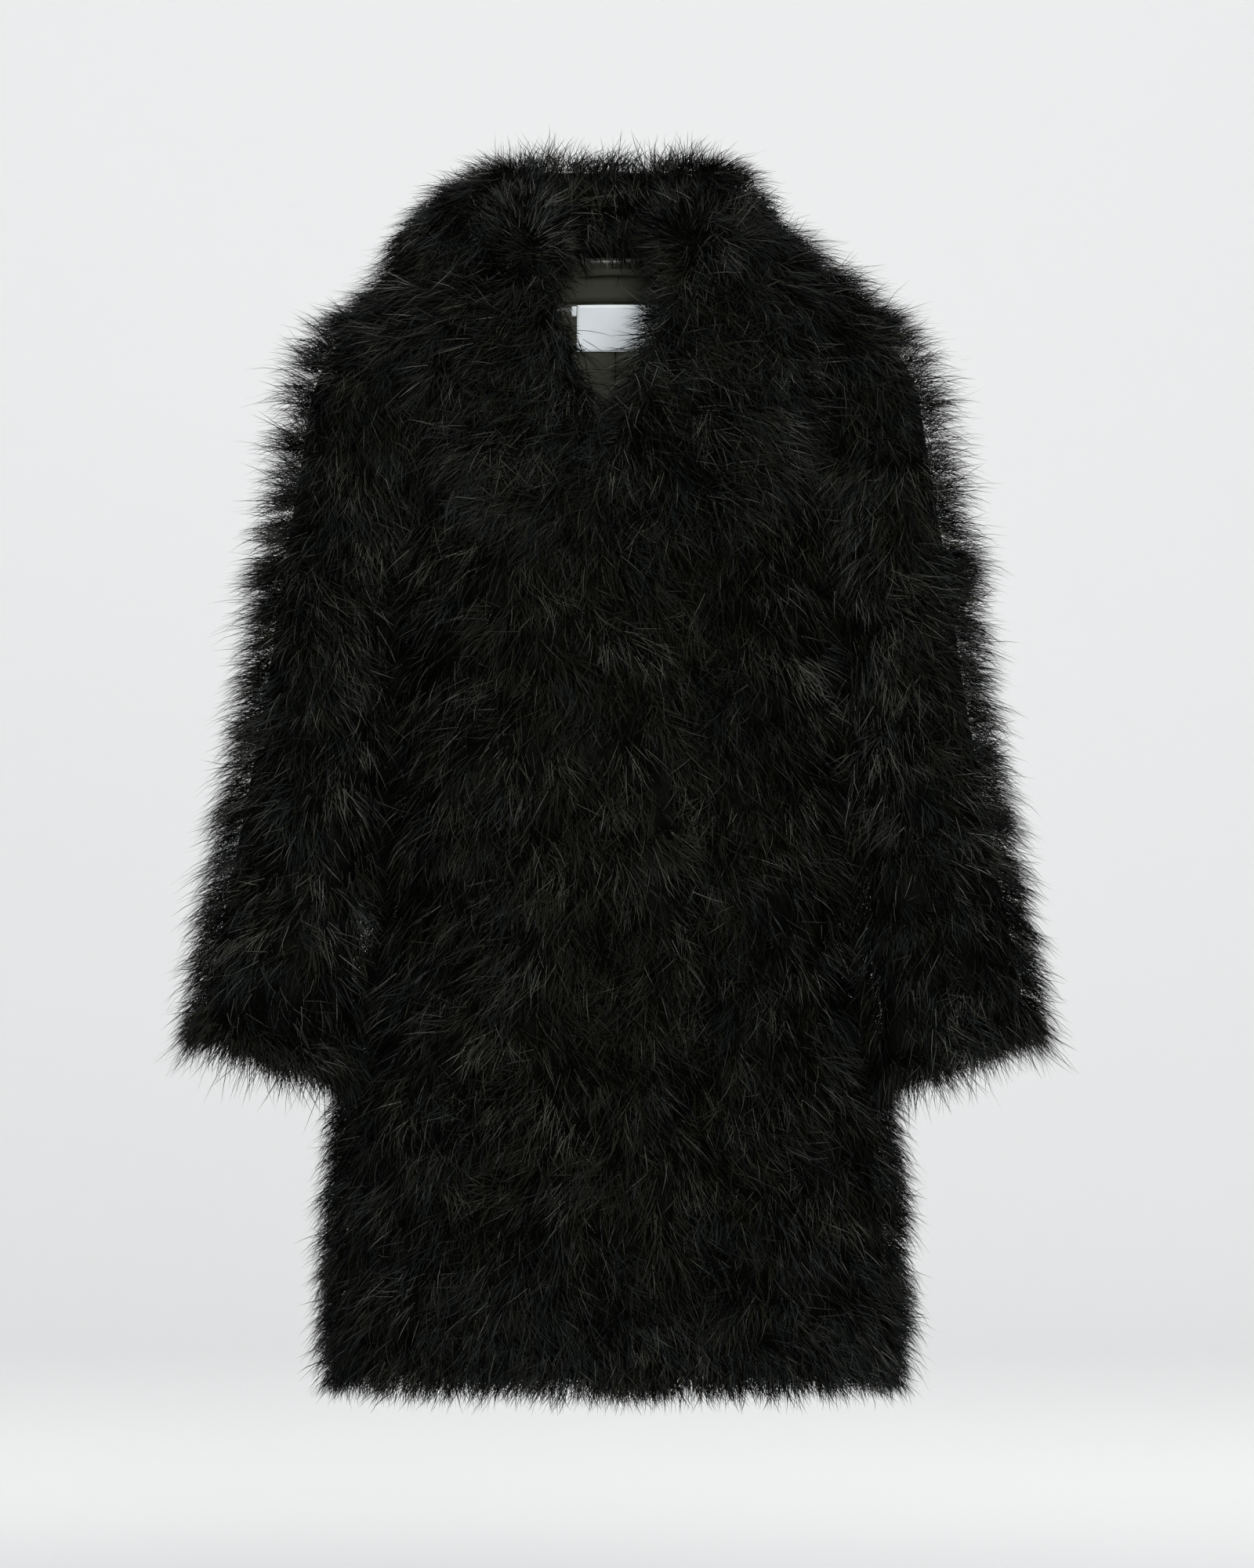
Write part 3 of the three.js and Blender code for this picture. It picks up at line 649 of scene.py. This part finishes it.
# ---- cloth ----
def shell(name, inner, outer, fabric, closed=False):
    """A thin closed sheet between two grids of points; a closed one joins its first and last columns."""
    rows, columns = inner.shape[:2]
    if closed:
        inner, outer, columns = inner[:, :-1], outer[:, :-1], columns - 1
    verts = np.concatenate([inner.reshape(-1, 3), outer.reshape(-1, 3)])
    low = np.arange(rows * columns).reshape(rows, columns)
    high = low + rows * columns
    faces = []
    for i in range(rows):
        for j in range(columns if closed else columns - 1):
            k = (j + 1) % columns
            if i < rows - 1:
                faces.append((low[i, j], low[i, k], low[i + 1, k], low[i + 1, j]))
                faces.append((high[i, j], high[i + 1, j], high[i + 1, k], high[i, k]))
            if i in (0, rows - 1):
                faces.append((low[i, j], high[i, j], high[i, k], low[i, k]))
    if not closed:
        for j in (0, columns - 1):
            for i in range(rows - 1):
                faces.append((low[i, j], low[i + 1, j], high[i + 1, j], high[i, j]))
    mesh = bpy.data.meshes.new(name)
    mesh.from_pydata(to_row(verts).tolist(), [], [tuple(int(v) for v in f) for f in faces])
    form = bmesh.new()
    form.from_mesh(mesh)
    bmesh.ops.recalc_face_normals(form, faces=form.faces)
    form.to_mesh(mesh)
    form.free()
    return finished(name, mesh, [fabric[0]])


def cloth(name, patch, layer, fabric, attach, *nodes, closed=False, with_pieces=(), measured_at=None):
    """A sheet of cloth between two depths on a patch."""
    inner, outer = (lifted(*patch, depth) for depth in layer)
    piece = shell(name, inner, outer, fabric, closed)
    attach(piece)
    if nodes:
        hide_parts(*nodes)


# ---- camera, light and floor ----
VIEW = dict(distance=8.0, height=1.24, aim=(9.3, 0.0, 480.5), film=36.0)
FLOOR = -420.0
# Place, what it points at, size, watts and colour
LIGHTS = {
    "key": ((-1.2, -3.4, 2.2), (0, 0, -0.2), (1.2, 1.2), 46, (1, 1, 1)),
    "front": ((0.3, -4.2, 0.5), (0, 0, 0), (1.0, 1.0), 192, (1, 1, 1)),
    "fill": ((2.1, -3.2, 0.9), (0, 0, -0.2), (1.8, 1.8), 32, (1, 1, 1)),
    "top": ((0, 0.3, 2.6), (0, 0, -0.3), (2.4, 1.6), 40, (0.90, 0.96, 1.0)),
    "backdrop": ((0, 6.5, 4.2), (0, 10.0, 0), (8.0, 1.5), 66, (1, 1, 1)),
    "floor_glow": ((0, 4.0, 1.6), (0, 7.6, -1.2), (8.0, 0.6), 78, (1.0, 0.99, 0.96)),
}


def make_camera():
    """Level with the middle of the coat and straight in front of it."""
    data = bpy.data.cameras.new("camera")
    data.sensor_fit = "VERTICAL"
    data.sensor_height = VIEW["film"]
    data.lens = VIEW["film"] * VIEW["distance"] / VIEW["height"]
    data.clip_end = 50
    camera = bpy.data.objects.new("camera", data)
    camera.location = to_row(VIEW["aim"]) - [0, VIEW["distance"], 0]
    camera.rotation_euler = (math.pi / 2, 0, 0)
    bpy.context.scene.collection.objects.link(camera)
    bpy.context.scene.camera = camera


def make_lights():
    for name, (place, aim, size, power, color) in LIGHTS.items():
        data = bpy.data.lights.new(name, "AREA")
        data.shape = "RECTANGLE"
        data.size, data.size_y = size
        data.energy = power
        data.color = color
        light = bpy.data.objects.new(name, data)
        light.location = place
        light.rotation_euler = (Vector(aim) - Vector(place)).to_track_quat("-Z", "Y").to_euler()
        bpy.context.scene.collection.objects.link(light)
    world = bpy.data.worlds.new("studio")
    bpy.context.scene.world = world
    world.use_nodes = True
    background = world.node_tree.nodes["Background"]
    background.inputs["Color"].default_value = (0.95, 0.97, 1.0, 1)
    background.inputs["Strength"].default_value = 0.42
    bpy.context.scene.view_settings.view_transform = "Standard"


def make_floor(near=-16.0, far=10.0, bend=2.0, half_width=12.0, top=8.0, steps=12):
    """A pale floor that curves up into a wall far behind the coat."""
    floor_z = to_row([0, 0, FLOOR])[2]
    profile = [(near, floor_z)]
    for k in range(steps + 1):
        a = math.pi / 2 * k / steps
        profile.append((far - bend + bend * math.sin(a), floor_z + bend * (1 - math.cos(a))))
    profile.append((far, top))
    verts = [(x, y, z) for y, z in profile for x in (-half_width, half_width)]
    faces = [(2 * k, 2 * k + 1, 2 * k + 3, 2 * k + 2) for k in range(len(profile) - 1)]
    mesh = bpy.data.meshes.new("floor")
    mesh.from_pydata(verts, [], faces)
    mesh.polygons.foreach_set("use_smooth", [True] * len(faces))
    mesh.materials.append(principled("floor_paper", (0.88, 0.88, 0.88), 0.9)[0])
    floor = bpy.data.objects.new("floor", mesh)
    bpy.context.scene.collection.objects.link(floor)


# ---- which way the feathers lie ----
def body_flow(at, up):
    """Down the coat, spreading outwards a little at the hem and over the shoulders."""
    shoulder = smooth(760, 880, at[:, 2]) * smooth(20, 110, np.abs(at[:, 0]))
    outward = at[:, 0] * 0.0011 + np.sign(at[:, 0]) * 1.3 * shoulder
    return np.column_stack([outward, 0 * outward, -np.ones(len(at))])


def sleeve_flow(side):
    def flow(at, up):
        lean = mix(0.20, 0.75, smooth(760, 850, at[:, 2]))
        return np.column_stack([side * lean, -0.10 * np.ones(len(at)), -np.ones(len(at))])
    return flow


def collar_flow(at, up):
    """Away from the neck all round, and down."""
    r = np.hypot(at[:, 0], at[:, 1]) + 1e-6
    return np.column_stack([1.1 * at[:, 0] / r, 1.1 * at[:, 1] / r, -np.ones(len(at))])


def roll_flow(at, up):
    """Up the inside of the collar's stand, over its roll and down outside."""
    r = np.hypot(at[:, 0], at[:, 1]) + 1e-6
    out = at[:, :2] / r[:, None]
    facing = np.sum(out * up[:, :2], -1)
    return np.column_stack([out, mix(1.6, -1.0, smooth(-0.6, 0.8, facing))])


def steady_flow(*way):
    return lambda at, up: np.array(way, float) + 0 * at


def end_flow(side):
    """Away from the tip of the roll's front end on all sides."""
    centre = end_patch(side)[0][0].mean(0)
    return lambda at, up: at - centre


# ---- how long they are, and how far they stand up (in radians) ----
def above_cuff(at):
    return at[:, 2] - 258 - (np.abs(at[:, 0]) - 213) * 0.35


def body_length(at):
    """Shorter at the hem and under the collar, longer where they fill the gap to a sleeve."""
    by_sleeve = smooth(140, 160, np.abs(at[:, 0])) * smooth(270, 330, at[:, 2]) * smooth(670, 620, at[:, 2])
    return 41 - 7 * smooth(90, 30, at[:, 2]) - 12 * smooth(790, 850, at[:, 2]) + 12 * by_sleeve


def sleeve_length(at):
    return 42 + 2 * smooth(40, 5, above_cuff(at))


def shoulder_length(at):
    return 41 + 15 * smooth(195, 165, np.abs(at[:, 0]))


def edge_length(side):
    least, most = (11, 34) if side < 0 else (35, 46)
    return lambda at: mix(least, most, smooth(862, 896, at[:, 2]))


def body_lift(at):
    return 0.95 + 0.25 * smooth(130, 165, np.abs(at[:, 0])) - 0.20 * smooth(60, 20, at[:, 2])


def cuff_lift(at):
    """Feathers stand out along the sleeve and hang down at its cuff."""
    return 0.45 + 0.60 * smooth(5, 70, above_cuff(at))


def shoulder_lift(at):
    return 0.90 + 0.25 * smooth(195, 165, np.abs(at[:, 0]))


def roll_lift(at):
    return 0.85 + 0.30 * smooth(925, 950, at[:, 2])


# ---- how they are tinted: shares of neutral, deep, blue, olive and grey ----
def body_tints(at):
    """More blue at the hem and sides, where the extra blue is painted bluish rim light; more olive in the middle
    of the front.
    """
    x = np.abs(at[:, 0])
    # The base blue share is the feathers' own tint; the extra at the hem and sides is painted rim light.
    blue = 0.10 + 0.18 * smooth(180, 40, at[:, 2]) + 0.10 * smooth(110, 170, x)
    olive = 0.12 + 0.16 * smooth(120, 20, x) * smooth(60, 250, at[:, 2])
    return np.column_stack([0.26 + 0 * x, 0.42 + 0 * x, blue, olive, 0.08 + 0 * x])


def sleeve_tints(at):
    """As on the body, with more grey above the elbow."""
    tints = body_tints(at)
    tints[:, 4] += 0.07 * smooth(330, 520, at[:, 2])
    return tints


def collar_tints(at):
    return np.tile([0.26, 0.40, 0.18, 0.08, 0.08], (len(at), 1))


# ---- feather pieces ----
SIDES = (-1, 1)  # the wearer's right and left
FRINGE_ROWS = dict(tints=body_tints, row_step=8, root=5)  # close rows along an edge
BACK_PILE = dict(tints=body_tints, length=body_length, lift=body_lift, strands=26, tuft_step=16, row_step=18)
HEM_HEIGHT = 26


def beyond(side, x):
    """Picks the tufts that are further than x to a side."""
    return lambda at: at[:, 0] * side > x


def feathered_back():
    for side in SIDES:
        name = name_of(side)
        for part, low, high, node in (("lower", HEM, 490, "back_feathers_lower"),
                                      ("upper", 475, 868, f"{name}_back_feathers")):
            rng = np.random.default_rng(100 + side * 7 + int(low))
            feathers(f"back_feathers_{part}_{name}", rng, back_patch(low, high), body_flow, on_body, node,
                     width=0.75, keep=beyond(side, 0), **BACK_PILE)
        feathers(f"{name}_side_strands", np.random.default_rng(130 + side), back_patch(HEM + 20, 700), body_flow,
                 on_body, length=44, lift=1.2, tints=body_tints, keep=beyond(side, 140))
    feathers("back_hem_strands", np.random.default_rng(140), back_patch(HEM, HEM + HEM_HEIGHT, rows=8), body_flow,
             on_body, length=26, lift=0.25, strands=30, tuft_step=9, **FRINGE_ROWS)


def feathered_fronts():
    for side in SIDES:
        name = name_of(side)
        for part, low, high in (("lower", HEM, 440), ("upper", 432, 862)):
            rng = np.random.default_rng(200 + side * 11 + int(low))
            feathers(f"{name}_front_feathers_{part}_strands", rng, front_patch(side, low, high), body_flow,
                     on_front(side), f"{name}_front_feathers", f"{name}_opening_feathers",
                     length=body_length, lift=body_lift, strands=48, tints=body_tints)
        feathers(f"{name}_hem_strands", np.random.default_rng(230 + side),
                 front_patch(side, HEM, HEM + HEM_HEIGHT, rows=8), body_flow, on_front(side),
                 length=26, lift=0.25, strands=36, tuft_step=9, **FRINGE_ROWS)


def feathered_sleeves():
    for side in SIDES:
        name = name_of(side)
        for part, start, end in (("upper", 0.0, 0.5), ("lower", 0.48, 1.0)):
            rng = np.random.default_rng(300 + side * 13 + int(start * 100))
            feathers(f"{name}_sleeve_strands_{part}", rng, sleeve_patch(side, start, end), sleeve_flow(side),
                     on_sleeve(side), f"{name}_sleeve_feathers_{part}",
                     length=sleeve_length, lift=cuff_lift, strands=48, tints=sleeve_tints)
        feathers(f"{name}_cuff_strands", np.random.default_rng(330 + side), sleeve_patch(side, 0.955, 1.0, rows=8),
                 sleeve_flow(side), on_sleeve(side), length=30, lift=0.30, strands=44, tuft_step=8, **FRINGE_ROWS)


def feathered_shoulders():
    for side in SIDES:
        feathers(f"{name_of(side)}_shoulder_strands", np.random.default_rng(500 + side), shoulder_patch(side),
                 sleeve_flow(side), on_armhole(), length=shoulder_length, lift=shoulder_lift,
                 strands=50, row_step=14, tuft_step=13, root=5, tints=collar_tints)


def feathered_armholes():
    for side in SIDES:
        points, normals = armhole_patch(side)
        feathers(f"{name_of(side)}_armhole_strands", np.random.default_rng(520 + side),
                 (points[::-1], normals[::-1]), sleeve_flow(side), on_armhole(), length=38, lift=0.8,
                 strands=36, row_step=10, tuft_step=13, tints=body_tints)


def feathered_collar():
    for k, (name, fall) in enumerate(FALLS.items()):
        feathers(f"{name}_collar_strands", np.random.default_rng(400 + k), fall_patch(*fall), collar_flow, on_body,
                 f"{name}_collar_feathers", length=40, strands=52, row_step=15, tuft_step=14, lift=0.9, root=6,
                 wild=0.5, tints=collar_tints)
    rng = np.random.default_rng(410)
    feathers("collar_roll_strands", rng, roll_patch(), roll_flow, on_body, "collar_outer_feathers", length=36,
             strands=48, row_step=12, tuft_step=13, lift=roll_lift, root=2, wild=0.55, tints=collar_tints)
    for side in SIDES:
        # Over the V's edge, inwards and down
        feathers(f"{name_of(side)}_v_edge_strands", rng, v_edge_patch(side), steady_flow(-side, -0.2, -0.55),
                 on_body, length=edge_length(side), strands=60, row_step=9, tuft_step=9, lift=0.5, root=2,
                 tints=collar_tints)
        feathers(f"{name_of(side)}_roll_end_strands", rng, end_patch(side), end_flow(side), on_body, length=33,
                 strands=48, row_step=10, tuft_step=11, lift=0.8, root=3, droop=0.05, tints=collar_tints)
    feathers("collar_inner_strands", rng, stand_patch(-2, 908, 940, -1), steady_flow(0, 0, -1), on_body,
             "collar_inner_feathers", length=30, strands=36, row_step=11, tuft_step=12, lift=0.6,
             tints=collar_tints)


# ---- cloth under the feathers, linings and facings ----
def soft_folds(points, deep=1.6, crease_deep=0.7):
    """Lining depths that wander in long soft vertical folds, with small creases behind the V."""
    turn = np.arctan2(points[..., 0], points[..., 1])
    z = points[..., 2]
    wave = np.sin(turn * 13 + 1.2 * np.sin(z / 90)) * np.sin(z / 130 + 1)
    crease = np.sin(turn * 21 + z / 11 + 1.5 * np.sin(z / 37)) * smooth(560, 700, z) * smooth(850, 815, z)
    return [d - deep * (0.5 + 0.5 * wave) - crease_deep * crease for d in LINING]


def coat_cloths():
    cloth("back_cloth", back_patch(HEM, NECK, 50, 90), FABRIC, CLOTH, on_body, "back_fabric")
    lining_hem = HEM + 8
    for side in SIDES:
        name = name_of(side)
        cloth(f"{name}_front_cloth", front_patch(side, HEM, NECK, 36, 90), FABRIC, CLOTH, on_front(side),
              f"{name}_front_fabric", f"{name}_opening_fabric")
        patch = front_patch(side, lining_hem, NECK, 40, 100)
        cloth(f"{name}_front_satin", patch, soft_folds(patch[0]), SATIN, on_front(side),
              f"{name}_front_lining", f"{name}_opening_facing")
        patch = body_patch(lining_hem, COLLAR_TOP, lambda z: side * 0.004 + 0 * z,
                           lambda z: side * side_turn(z, False), 40, 100)
        cloth(f"{name}_back_satin", patch, soft_folds(patch[0]), SATIN, on_body, f"{name}_back_lining")
        cloth(f"{name}_sleeve_cloth", sleeve_patch(side, 0, 1, 49, 60), FABRIC, CLOTH, on_sleeve(side),
              f"{name}_sleeve_fabric", closed=True)
        cloth(f"{name}_sleeve_satin", sleeve_patch(side, 0.0, 0.93, 49, 60), SLEEVE_LINING, SATIN,
              on_sleeve(side), f"{name}_sleeve_lining", closed=True)
        cloth(f"{name}_cuff_cloth", sleeve_patch(side, 0.932, 0.995, 49, 8), SLEEVE_LINING, CLOTH,
              on_sleeve(side), f"{name}_cuff_facing", closed=True)
    cloth("neck_facing_satin", back_patch(COLLAR_TOP + 0.5, NECK, 50, 8), LINING, SATIN, on_body,
          "back_neck_facing")
    for side in SIDES:
        name = name_of(side)
        patch = armhole_patch(side)
        cloth(f"{name}_armhole_cloth", patch, FABRIC, CLOTH, on_armhole(), closed=True, measured_at=patch[0])
        cloth(f"{name}_armhole_satin", patch, SLEEVE_LINING, SATIN, on_armhole(), closed=True,
              measured_at=patch[0])
        patch = shoulder_patch(side)
        cloth(f"{name}_shoulder_cloth", patch, FABRIC, CLOTH, on_armhole(), measured_at=patch[0])


def collar_cloths():
    for name, fall in FALLS.items():
        patch = fall_patch(*fall, columns=30, rows=14, depth=0, down=sink if name == "left" else None)
        cloth(f"{name}_collar_cloth", patch, COLLAR_FABRIC, CLOTH, on_body, f"{name}_collar_fabric")
    cloth("collar_roll_cloth", roll_patch(80, 24, short=0.16), ROLL_FABRIC, CLOTH, on_body)
    for side in SIDES:
        cloth(f"{name_of(side)}_roll_end_cloth", end_patch(side), ROLL_FABRIC, CLOTH, on_body, closed=True)
    cloth("collar_stand_cloth", stand_patch(1, NECK, 945, 1, rows=9), FABRIC, CLOTH, on_body,
          "collar_stand_fabric")


# ---- label, loop and fastenings ----
def inside_back(x0, x1, low, high, columns, rows):
    """A grid of points on the back, between two distances from the centre and two heights."""
    z = np.linspace(low, high, rows)[:, None] * np.ones((1, columns))
    x = np.linspace(x0, x1, columns)[None, :] * np.ones((rows, 1))
    p = body_point(turn_at_x(x, z) * np.sign(x + 1e-6), z)
    return p, grid_normals(p)


def neck_details():
    """A blank satin label with a narrow size tab, both sewn to the lining."""
    patch = inside_back(*TAB_EDGES, columns=5, rows=5)
    tab = shell("label_tab_satin", *(lifted(*patch, depth) for depth in TAB_LAYER), LABEL)
    on_body(tab)
    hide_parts("label_tab")
    patch = inside_back(*LABEL_EDGES, columns=30, rows=16)
    wave = 0.54 * np.sin(patch[0][..., 0] / 11.0) * smooth(866, 835, patch[0][..., 2])
    cloth("label_satin", patch, [d - wave for d in LABEL_LAYER], LABEL, on_body, "label",
          with_pieces=["label_tab_satin"])


def hanger_strap():
    """A narrow rolled strap whose two ends are sewn to the neck seam."""
    path = np.array([[-28, 53, 886], [-15.4, 45.5, 887], [0, 44, 887.5], [15.4, 45.5, 887], [28, 53, 886]], float)
    half_height, half_thick, hollow = 2.5, 0.8, 0.35
    steps = np.arange(float(len(path)))
    centre = along(np.column_stack([steps, path]), np.linspace(0, steps[-1], 33))
    up = np.array([0, 0, 1.0])
    out = unit(np.cross(unit(np.gradient(centre, axis=0)), up))
    a = np.linspace(0, 2 * math.pi, 17)[None, :, None]
    ring = centre[:, None] + up * np.cos(a) * half_height + out[:, None] * np.sin(a) * half_thick
    core = mix(centre[:, None], ring, hollow)
    strap = shell("hanger_strap", core, ring, STRAP, closed=True)
    on_body(strap)
    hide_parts("hanger_loop")


def fastenings():
    """The hooks and eyes keep the shape that they have in the frame."""
    metal = dark_metal()
    for kind in ("hook", "eye"):
        for k in (1, 2, 3):
            mesh = bpy.data.objects[f"{kind}_{k}"].data
            mesh.materials.clear()
            mesh.materials.append(metal)


make_camera()
make_floor()
make_lights()
FEATHERS = feather_set()
# Each fabric is a material and its slot
CLOTH = (woven("black_cloth", (0.0012, 0.0012, 0.0010), (0.0024, 0.0025, 0.0020), 0.85, specular=0.03),
         "base_cloth")
SATIN = (woven("satin", (0.025, 0.026, 0.019), (0.034, 0.035, 0.026), 0.34, threads=2600, bump=0.05),
         "satin_lining")
STRAP = (woven("strap_cloth", (0.017, 0.018, 0.013), (0.024, 0.025, 0.019), 0.80, threads=2600, bump=0.05,
               specular=0.05), "base_cloth")
LABEL = (woven("label_weave", (0.55, 0.59, 0.61), (0.63, 0.67, 0.69), 0.42, threads=3200, bump=0.08),
         "woven_label")
feathered_back()
feathered_fronts()
feathered_sleeves()
feathered_shoulders()
feathered_armholes()
feathered_collar()
coat_cloths()
collar_cloths()
neck_details()
hanger_strap()
fastenings()
